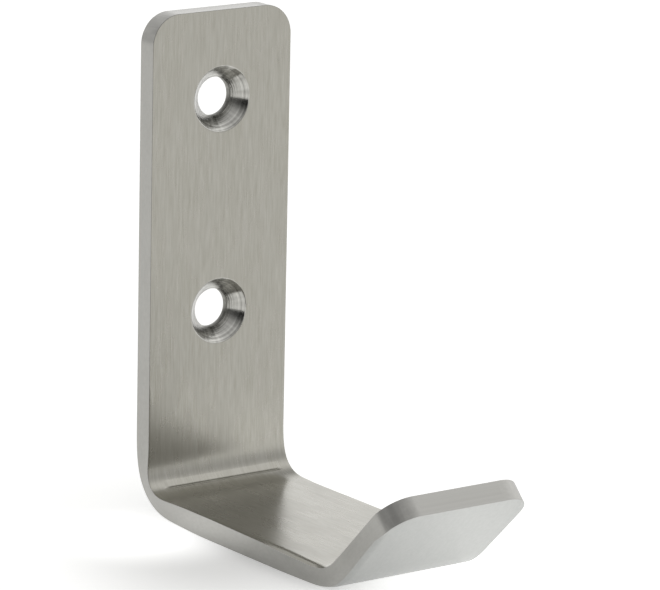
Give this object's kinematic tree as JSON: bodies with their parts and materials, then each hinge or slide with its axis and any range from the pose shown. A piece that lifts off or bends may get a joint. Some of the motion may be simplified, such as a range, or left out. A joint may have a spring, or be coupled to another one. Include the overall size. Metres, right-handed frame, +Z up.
{
  "type": "coat hook",
  "caption": "Wall coat hook folded from one strip of brushed steel: upright plate with countersunk screw holes, level arm and upturned tip.",
  "frame": {"origin": "on the plate's back face, midway between the two screw holes", "axes": "+Y out of the back face into the wall, +Z up the plate, +X across the strip"},
  "size_m": [0.0226, 0.0593, 0.069],
  "materials": {
    "brushed_steel": "stainless sheet, brushed along the strip, satin, with turned countersinks"
  },
  "bodies": {
    "root": {"coat_hook": "brushed_steel"}
  },
  "joints": []
}
